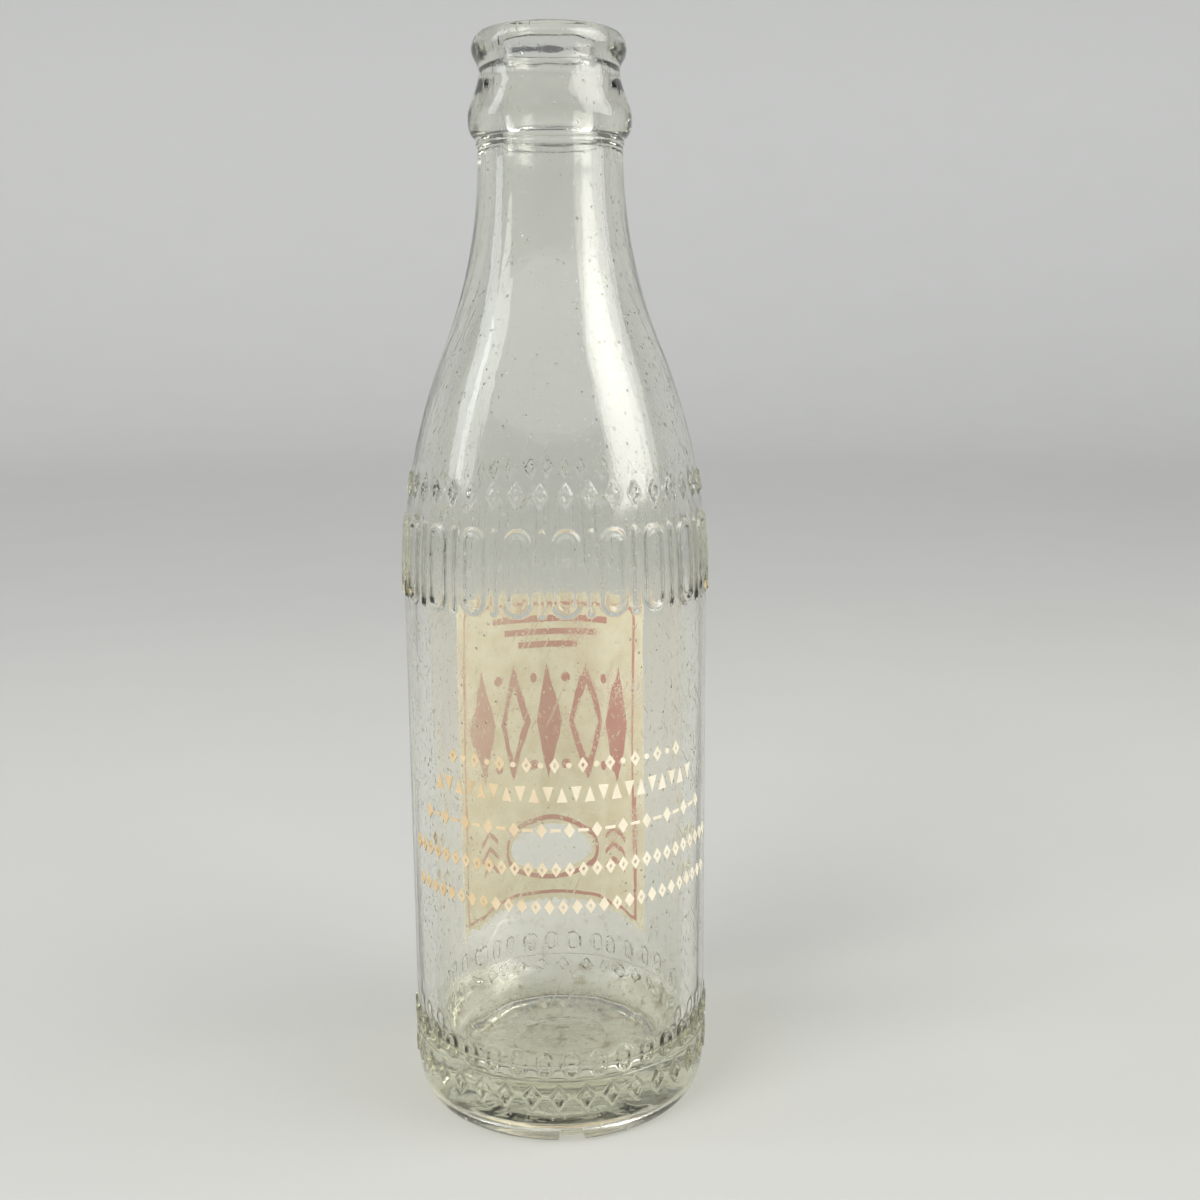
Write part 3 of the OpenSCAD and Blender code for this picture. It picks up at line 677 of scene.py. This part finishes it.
def glassSurface(tree, place, split):
    # the bumps that bend the light, and how rough the glass is
    g = glass
    # ripples 1.6 mm apart that run up the bottle, strongest on the neck, where the hot glass was drawn most
    along = addNode(tree, "ShaderNodeMapping", {"Vector": place, "Scale": (1, 1, g["rippleSquash"])})
    ripple = addNode(tree, "ShaderNodeTexNoise", {
        "Vector": along.outputs[0], "Scale": 1 / (g["ripple"] * mm), "Detail": 1.5, "Roughness": 0.5})
    drawn = addNode(tree, "ShaderNodeMapRange", {
        "Value": split.outputs[2], "From Min": g["rippleLow"] * mm, "From Max": g["rippleHigh"] * mm,
        "To Min": g["rippleLeast"], "To Max": 1.0})
    first = addNode(tree, "ShaderNodeBump", {
        "Height": ripple.outputs[0], "Strength": drawn.outputs[0], "Distance": g["rippleDepth"] * mm})
    # pits and sand specks 0.3 to 0.5 mm across
    cells = addNode(tree, "ShaderNodeTexVoronoi", {"Vector": place, "Scale": 1 / (g["pitPitch"] * mm)})
    pit = addNode(tree, "ShaderNodeMapRange", {
        "Value": cells.outputs["Distance"], "From Min": g["pitRange"][0], "From Max": g["pitRange"][1],
        "To Min": 1.0, "To Max": 0.0})
    second = addNode(tree, "ShaderNodeBump", {
        "Height": pit.outputs[0], "Strength": 1.0, "Distance": g["pitDepth"] * mm,
        "Normal": first.outputs[0]})
    # hairline scratches that lean two ways, drawn 0.1 mm wide so that they show
    lines = []
    for turn in g["scratchLeans"]:
        lean = addNode(tree, "ShaderNodeMapping", {
            "Vector": place, "Rotation": turn, "Scale": (1, 1, g["scratchStretch"])}, vector_type="TEXTURE")
        hair = addNode(tree, "ShaderNodeTexNoise", {
            "Vector": lean.outputs[0], "Scale": 1 / (g["scratchPitch"] * mm), "Detail": 0.0})
        lines.append(addNode(tree, "ShaderNodeMapRange", {
            "Value": hair.outputs[0], "From Min": g["scratchRange"][0], "From Max": g["scratchRange"][1],
            "To Min": 0.0, "To Max": 1.0}))
    scratch = addNode(tree, "ShaderNodeMath", {
        0: lines[0].outputs[0], 1: lines[1].outputs[0]}, operation="MAXIMUM")
    # the mould's two side seams
    aside = addNode(tree, "ShaderNodeMath", {0: split.outputs[1]}, operation="ABSOLUTE")
    seam = addNode(tree, "ShaderNodeMapRange", {
        "Value": aside.outputs[0], "From Min": g["seamCore"] * g["seamWidth"] * mm,
        "From Max": g["seamWidth"] * mm / 2, "To Min": 1.0, "To Max": 0.0})
    lined = addNode(tree, "ShaderNodeMath", {0: scratch.outputs[0], 1: seam.outputs[0]}, operation="MAXIMUM")
    # scuffs gather in patches, and where bottles rub: the foot, the heel, the belt of tall marks and the lip
    patches = addNode(tree, "ShaderNodeTexNoise", {
        "Vector": place, "Scale": 1 / (g["patchSize"] * mm), "Detail": 3.0})
    patch = addNode(tree, "ShaderNodeMapRange", {
        "Value": patches.outputs[0], "From Min": g["patchRange"][0], "From Max": g["patchRange"][1],
        "To Min": 0.0, "To Max": 1.0})
    fine = addNode(tree, "ShaderNodeTexNoise", {
        "Vector": place, "Scale": 1 / (g["gritSize"] * mm), "Detail": 3.0, "Roughness": 0.7})
    grit = addNode(tree, "ShaderNodeMapRange", {
        "Value": fine.outputs[0], "From Min": g["gritRange"][0], "From Max": g["gritRange"][1],
        "To Min": 0.0, "To Max": 1.0})
    share = addNode(tree, "ShaderNodeMath", {
        0: split.outputs[2], 1: 1 / (bottle["topZ"] * mm)}, operation="MULTIPLY")
    wear = addNode(tree, "ShaderNodeValToRGB", {0: share.outputs[0]})
    setRamp(wear, g["wear"])
    rubbed = addNode(tree, "ShaderNodeMath", {0: patch.outputs[0], 1: wear.outputs[0]}, operation="MAXIMUM")
    scuff = addNode(tree, "ShaderNodeMath", {0: rubbed.outputs[0], 1: grit.outputs[0]}, operation="MULTIPLY")
    relieved = addNode(tree, "ShaderNodeMath", {
        0: scuff.outputs[0], 1: g["gritShare"], 2: lined.outputs[0]}, operation="MULTIPLY_ADD")
    third = addNode(tree, "ShaderNodeBump", {
        "Height": relieved.outputs[0], "Strength": 1.0, "Distance": g["scratchDepth"] * mm,
        "Normal": second.outputs[0]})
    marks = addNode(tree, "ShaderNodeMath", {0: scratch.outputs[0], 1: pit.outputs[0]}, operation="MAXIMUM")
    both = addNode(tree, "ShaderNodeMath", {0: scuff.outputs[0], 1: marks.outputs[0]}, operation="MAXIMUM")
    rough = addNode(tree, "ShaderNodeMapRange", {
        "Value": both.outputs[0], "To Min": g["clear"], "To Max": g["scuffed"]})
    return third.outputs[0], rough.outputs[0]


def driedResidue(tree, place, split):
    # how much dried residue shows, in specks and a thin film on the inside, just above the floor
    g = glass
    flat = addNode(tree, "ShaderNodeVectorMath", {0: place, 1: (1, 1, 0)}, operation="MULTIPLY")
    radius = addNode(tree, "ShaderNodeVectorMath", {0: flat.outputs[0]}, operation="LENGTH")
    inside = addNode(tree, "ShaderNodeMath", {
        0: radius.outputs["Value"], 1: g["residueR"] * mm}, operation="LESS_THAN")
    low = addNode(tree, "ShaderNodeMapRange", {
        "Value": split.outputs[2], "From Min": g["residueFull"] * mm, "From Max": g["residueTop"] * mm,
        "To Min": 1.0, "To Max": 0.0})
    floorUp = addNode(tree, "ShaderNodeMath", {
        0: split.outputs[2], 1: g["residueLow"] * mm}, operation="GREATER_THAN")
    spots = addNode(tree, "ShaderNodeTexNoise", {
        "Vector": place, "Scale": 1 / (g["residueGrain"] * mm), "Detail": 4.0, "Roughness": 0.65})
    spot = addNode(tree, "ShaderNodeMapRange", {
        "Value": spots.outputs[0], "From Min": g["residueRange"][0], "From Max": g["residueRange"][1],
        "To Min": 0.0, "To Max": 1.0})
    dirty = addNode(tree, "ShaderNodeMath", {0: low.outputs[0], 1: floorUp.outputs[0]}, operation="MULTIPLY")
    dirty = addNode(tree, "ShaderNodeMath", {0: dirty.outputs[0], 1: inside.outputs[0]}, operation="MULTIPLY")
    dirty = addNode(tree, "ShaderNodeMath", {0: dirty.outputs[0], 1: spot.outputs[0]}, operation="MULTIPLY")
    return dirty.outputs[0]


def glassMaterial():
    g = glass
    material, tree = newMaterial("mouldedSodaLimeGlass")
    place = addNode(tree, "ShaderNodeTexCoord").outputs["Object"]
    split = addNode(tree, "ShaderNodeSeparateXYZ", {0: place})
    bumps, roughness = glassSurface(tree, place, split)
    dirty = driedResidue(tree, place, split)
    colour = addNode(tree, "ShaderNodeMix", {
        0: dirty, 6: hexToLinear(g["tint"]), 7: hexToLinear(g["residue"])}, data_type="RGBA")
    shader = addNode(tree, "ShaderNodeBsdfPrincipled", {
        "Base Color": colour.outputs[2], "Roughness": roughness, "IOR": g["ior"],
        "Transmission Weight": 1.0, "Normal": bumps})
    # lamps pass the glass and light the enamel and floor behind it; its rounded edges pass less
    path = addNode(tree, "ShaderNodeLightPath")
    through = addNode(tree, "ShaderNodeBsdfTransparent", {"Color": hexToLinear(g["passed"])})
    edge = addNode(tree, "ShaderNodeLayerWeight", {"Blend": g["edgeBlend"]})
    held = addNode(tree, "ShaderNodeMix", {
        0: edge.outputs["Facing"], 6: hexToLinear(g["passed"]), 7: hexToLinear(g["heldBack"])},
        data_type="RGBA")
    shaded = addNode(tree, "ShaderNodeBsdfTransparent", {"Color": held.outputs[2]})
    bounced = addNode(tree, "ShaderNodeMixShader", {
        0: path.outputs["Is Diffuse Ray"], 1: shader.outputs[0], 2: through.outputs[0]})
    mix = addNode(tree, "ShaderNodeMixShader", {
        0: path.outputs["Is Shadow Ray"], 1: bounced.outputs[0], 2: shaded.outputs[0]})
    depth = addNode(tree, "ShaderNodeVolumeAbsorption", {
        "Color": (*g["absorbed"], 1.0), "Density": g["density"]})
    addNode(tree, "ShaderNodeOutputMaterial", {"Surface": mix.outputs[0], "Volume": depth.outputs[0]})
    return material


# Fired ceramic enamel, screened on: opaque and softly glossy, with specks and thin spots; the red and ivory
# also carry a painted side-to-side light and shade
cream = {"colour": "#f5eddd", "thin": "#e8dcc5", "speck": "#b0a486", "roughness": 0.38}
# painted light: on the red, the lighter thin tone grows toward the left, where glare lay, not where the layer
# is thinner
red = {"outer": "#9c2c2b", "outerThin": "#a93b35", "inner": "#cf918a", "innerThin": "#dabaae",
       "roughness": 0.36, "paintedSideLight": 24.0}
# painted shade: on the ivory print, the tan thin tone grows toward the left, the side turned from the light;
# in the random clouds it is thin print
ivory = {"colour": "#f3ecd8", "thin": "#cdb183", "roughness": 0.34, "paintedSideLight": 24.0}

# what the three enamels share: thin clouds, specks and a fine grain, and how far and how strongly the painted
# side light and shade reaches on the red and ivory
fired = {
    "cloudSize": 5, "cloudRange": (0.40, 0.66), "cloudShare": 0.25, "sideReach": 0.4, "sideMost": 0.9,
    "speckPitch": 2.6, "speckRange": (0.04, 0.08), "speckShare": 0.55,
    "grainSize": 0.4, "grainDepth": 0.02, "grainShare": 0.6, "smoother": 0.08, "rougher": 0.12, "ior": 1.5,
}


def enamelMaterial(name, colours, roughness, inner=None, paintedSideLight=None):
    # colours and inner hold the full and the thin tone, inner as it shows from inside the bottle;
    # the last argument is how far out on the left a painted side light and shade, in the thin tone, is
    # strongest
    f = fired
    material, tree = newMaterial(name)
    place = addNode(tree, "ShaderNodeTexCoord").outputs["Object"]
    clouds = addNode(tree, "ShaderNodeTexNoise", {
        "Vector": place, "Scale": 1 / (f["cloudSize"] * mm), "Detail": 5.0, "Roughness": 0.6})
    shade = addNode(tree, "ShaderNodeMapRange", {
        "Value": clouds.outputs[0], "From Min": f["cloudRange"][0], "From Max": f["cloudRange"][1],
        "To Min": 0.0, "To Max": 1.0})
    share = shade.outputs[0]
    # painted light and shade: the thin tone is pushed toward the left side, as the light fell across the
    # piece, on top of the random thin clouds
    if paintedSideLight:
        across = addNode(tree, "ShaderNodeSeparateXYZ", {0: place})
        side = addNode(tree, "ShaderNodeMapRange", {
            "Value": across.outputs[0],
            "From Min": -paintedSideLight * mm, "From Max": f["sideReach"] * paintedSideLight * mm,
            "To Min": f["sideMost"], "To Max": 0.0})
        share = addNode(tree, "ShaderNodeMath", {
            0: share, 1: f["cloudShare"], 2: side.outputs[0]}, operation="MULTIPLY_ADD").outputs[0]
    tones = []
    for full, thin in ([colours, inner] if inner else [colours]):
        tones.append(addNode(tree, "ShaderNodeMix", {
            0: share, 6: hexToLinear(full), 7: hexToLinear(thin)}, data_type="RGBA"))
    tone = tones[0]
    if inner:
        flat = addNode(tree, "ShaderNodeVectorMath", {0: place, 1: (1, 1, 0)}, operation="MULTIPLY")
        radius = addNode(tree, "ShaderNodeVectorMath", {0: flat.outputs[0]}, operation="LENGTH")
        outside = addNode(tree, "ShaderNodeMath", {
            0: radius.outputs["Value"], 1: (enamel["innerR"] + enamel["layer"] / 2) * mm},
            operation="GREATER_THAN")
        tone = addNode(tree, "ShaderNodeMix", {
            0: outside.outputs[0], 6: tones[1].outputs[2], 7: tones[0].outputs[2]}, data_type="RGBA")
    # dark specks a third of a millimetre across
    dots = addNode(tree, "ShaderNodeTexVoronoi", {"Vector": place, "Scale": 1 / (f["speckPitch"] * mm)})
    speck = addNode(tree, "ShaderNodeMapRange", {
        "Value": dots.outputs["Distance"], "From Min": f["speckRange"][0], "From Max": f["speckRange"][1],
        "To Min": f["speckShare"], "To Max": 0.0})
    spotted = addNode(tree, "ShaderNodeMix", {
        0: speck.outputs[0], 6: tone.outputs[2], 7: hexToLinear(cream["speck"])}, data_type="RGBA")
    grain = addNode(tree, "ShaderNodeTexNoise", {
        "Vector": place, "Scale": 1 / (f["grainSize"] * mm), "Detail": 2.0})
    bump = addNode(tree, "ShaderNodeBump", {
        "Height": grain.outputs[0], "Strength": f["grainShare"], "Distance": f["grainDepth"] * mm})
    rough = addNode(tree, "ShaderNodeMapRange", {
        "Value": grain.outputs[0], "To Min": roughness - f["smoother"], "To Max": roughness + f["rougher"]})
    shader = addNode(tree, "ShaderNodeBsdfPrincipled", {
        "Base Color": spotted.outputs[2], "Roughness": rough.outputs[0], "IOR": f["ior"],
        "Normal": bump.outputs[0]})
    addNode(tree, "ShaderNodeOutputMaterial", {"Surface": shader.outputs[0]})
    return material


glassBottle.data.materials.append(glassMaterial())
labelGround.data.materials.clear()
labelGround.data.materials.append(
    enamelMaterial("firedCreamEnamel", (cream["colour"], cream["thin"]), cream["roughness"]))
redEnamel = enamelMaterial("firedRedEnamel", (red["outer"], red["outerThin"]), red["roughness"],
                           (red["inner"], red["innerThin"]), red["paintedSideLight"])
ivoryEnamel = enamelMaterial("firedIvoryEnamel", (ivory["colour"], ivory["thin"]), ivory["roughness"],
                             paintedSideLight=ivory["paintedSideLight"])
for piece in redPieces:
    piece.data.materials.clear()
    piece.data.materials.append(redEnamel)
for piece in printPieces:
    piece.data.materials.clear()
    piece.data.materials.append(ivoryEnamel)
print("materials:", len(bpy.data.materials))


# Studio: a pale board that curves up behind, soft lamps and the camera

# the board's radius, height, bend and fade are in metres, and its mottle and grain in millimetres
studio = {
    "floor": "#b9b9b6", "wall": "#dededc", "fadeFrom": 0.5, "roughness": 0.85, "mottle": 0.10,
    "mottleSize": 60, "grain": 0.8, "grainDepth": 0.05, "grainShare": 0.4,
    "radius": 2.2, "height": 1.15, "bend": 0.95, "sides": 96, "bendSteps": 24,
    "air": "#f4f6f8", "worldFront": 1.05, "worldBack": 0.16, "worldWay": (0.0, -0.86, 0.5),
    "worldRange": (-0.25, 0.85), "glassBounces": 20, "bounces": 24,
}
# place and sensor are in millimetres, pitch and roll in radians, turn in degrees, focal in the photo's pixels
camera = {"place": (7.995, -264.12, 143.537), "pitch": 0.190, "roll": -0.007, "turn": -5.5,
          "focal": 1481.571, "photoWidth": 1200, "sensor": 36.0, "nearest": 0.01}

# azimuth is from the camera's side to the right; power is in watts, spread in degrees, the rest in metres
lamps = {
    "windowPanel": {"azimuth": 72, "distance": 0.85, "low": 0.16, "high": 1.20, "width": 0.85, "power": 3.7,
                    "colour": "#fffdf8", "spread": 110},
    "windowGlow": {"azimuth": 70, "distance": 0.84, "low": 0.20, "high": 1.00, "width": 0.60, "power": 1.2,
                   "colour": "#fffefa", "spread": 110},
    "roomFill": {"azimuth": -42, "distance": 1.1, "low": 0.45, "high": 1.25, "width": 0.80, "power": 5.7,
                 "colour": "#fffdfa", "spread": 120},
    "leftPanel": {"azimuth": -84, "distance": 1.0, "low": 0.25, "high": 1.05, "width": 0.30, "power": 1.0,
                  "colour": "#f6faff", "spread": 110},
}
aim = Vector((0, 0, 0.1))  # the middle of the bottle, in metres


def buildBoard():
    s = studio
    bpy.ops.object.select_all(action="DESELECT")
    bpy.ops.mesh.primitive_circle_add(
        vertices=s["sides"], radius=s["radius"], fill_type="NGON", location=(0, 0, 0))
    board = bpy.context.object
    board.name = "studioBoard"
    bpy.ops.object.mode_set(mode="EDIT")
    bpy.ops.mesh.select_all(action="SELECT")
    bpy.ops.mesh.extrude_region_move(TRANSFORM_OT_translate={"value": (0, 0, s["height"])})
    bpy.ops.mesh.delete(type="ONLY_FACE")
    bpy.ops.object.mode_set(mode="OBJECT")
    selectVerts(board, lambda co: co.z < s["height"] / 2)
    bpy.ops.mesh.bevel(offset=s["bend"], segments=s["bendSteps"], affect="EDGES")
    bpy.ops.mesh.select_all(action="SELECT")
    bpy.ops.mesh.normals_make_consistent(inside=True)
    bpy.ops.object.mode_set(mode="OBJECT")
    bpy.ops.object.shade_smooth()
    material, tree = newMaterial("mattePaintedBoard")
    place = addNode(tree, "ShaderNodeTexCoord").outputs["Object"]
    # the paint grows paler from the floor to the wall
    up = addNode(tree, "ShaderNodeVectorMath", {0: place}, operation="LENGTH")
    mottle = addNode(tree, "ShaderNodeTexNoise", {
        "Vector": place, "Scale": 1 / (s["mottleSize"] * mm), "Detail": 4.0})
    fade = addNode(tree, "ShaderNodeMapRange", {
        "Value": up.outputs["Value"], "From Min": s["fadeFrom"], "From Max": s["radius"],
        "To Min": 0.0, "To Max": 1.0})
    spot = addNode(tree, "ShaderNodeMath", {
        0: mottle.outputs[0], 1: s["mottle"], 2: fade.outputs[0]}, operation="MULTIPLY_ADD")
    tone = addNode(tree, "ShaderNodeMix", {
        0: spot.outputs[0], 6: hexToLinear(s["floor"]), 7: hexToLinear(s["wall"])}, data_type="RGBA")
    grain = addNode(tree, "ShaderNodeTexNoise", {
        "Vector": place, "Scale": 1 / (s["grain"] * mm), "Detail": 2.0})
    bump = addNode(tree, "ShaderNodeBump", {
        "Height": grain.outputs[0], "Strength": s["grainShare"], "Distance": s["grainDepth"] * mm})
    shader = addNode(tree, "ShaderNodeBsdfPrincipled", {
        "Base Color": tone.outputs[2], "Roughness": s["roughness"], "Normal": bump.outputs[0]})
    addNode(tree, "ShaderNodeOutputMaterial", {"Surface": shader.outputs[0]})
    board.data.materials.append(material)


def addLamp(name):
    # a soft panel that faces the bottle
    lamp = lamps[name]
    a = math.radians(lamp["azimuth"] + camera["turn"])
    data = bpy.data.lights.new(name, "AREA")
    data.shape, data.size, data.size_y = "RECTANGLE", lamp["width"], lamp["high"] - lamp["low"]
    data.energy, data.color = lamp["power"], hexToLinear(lamp["colour"])[:3]
    data.spread = math.radians(lamp["spread"])
    panel = bpy.data.objects.new(name, data)
    bpy.context.collection.objects.link(panel)
    away, height = lamp["distance"], (lamp["low"] + lamp["high"]) / 2
    middle = Vector((math.sin(a) * away, -math.cos(a) * away, height))
    panel.location = middle
    panel.rotation_euler = (middle - aim).to_track_quat("Z", "Y").to_euler()


def buildWorld():
    world = bpy.data.worlds.new("softRoom")
    bpy.context.scene.world = world
    world.use_nodes = True
    tree = world.node_tree
    tree.nodes.clear()
    way = addNode(tree, "ShaderNodeTexCoord").outputs["Generated"]
    # the room is brightest behind the camera and dimmer to the sides and back, which draws the glass's edges
    facing = addNode(tree, "ShaderNodeVectorMath", {0: way, 1: studio["worldWay"]}, operation="DOT_PRODUCT")
    level = addNode(tree, "ShaderNodeMapRange", {
        "Value": facing.outputs["Value"],
        "From Min": studio["worldRange"][0], "From Max": studio["worldRange"][1],
        "To Min": studio["worldBack"], "To Max": studio["worldFront"]}, interpolation_type="SMOOTHSTEP")
    background = addNode(tree, "ShaderNodeBackground", {
        "Color": hexToLinear(studio["air"]), "Strength": level.outputs[0]})
    addNode(tree, "ShaderNodeOutputWorld", {"Surface": background.outputs[0]})


def buildCamera():
    c = camera
    data = bpy.data.cameras.new("photoCamera")
    data.sensor_width, data.clip_start = c["sensor"], c["nearest"]
    data.lens = c["focal"] / c["photoWidth"] * c["sensor"]
    eye = bpy.data.objects.new("photoCamera", data)
    bpy.context.collection.objects.link(eye)
    turn = Matrix.Rotation(math.radians(c["turn"]), 4, "Z")
    eye.matrix_world = (turn @ Matrix.Translation(Vector(c["place"]) * mm)
                        @ Matrix.Rotation(math.pi / 2 - c["pitch"], 4, "X")
                        @ Matrix.Rotation(c["roll"], 4, "Z"))
    bpy.context.scene.camera = eye


buildBoard()
buildWorld()
buildCamera()
for lampName in lamps:
    addLamp(lampName)
# the glow is only the window's gleam on the glass, and the fill evens the label and makes no gleam
bpy.data.objects["windowGlow"].visible_diffuse = False
bpy.data.objects["roomFill"].visible_glossy = False
bpy.data.objects["roomFill"].visible_transmission = False
bpy.context.scene.view_settings.view_transform = "Standard"
bpy.context.scene.cycles.transmission_bounces = studio["glassBounces"]
bpy.context.scene.cycles.max_bounces = studio["bounces"]
bpy.context.scene.cycles.caustics_refractive = False
bpy.context.scene.cycles.caustics_reflective = False
print("studio done")
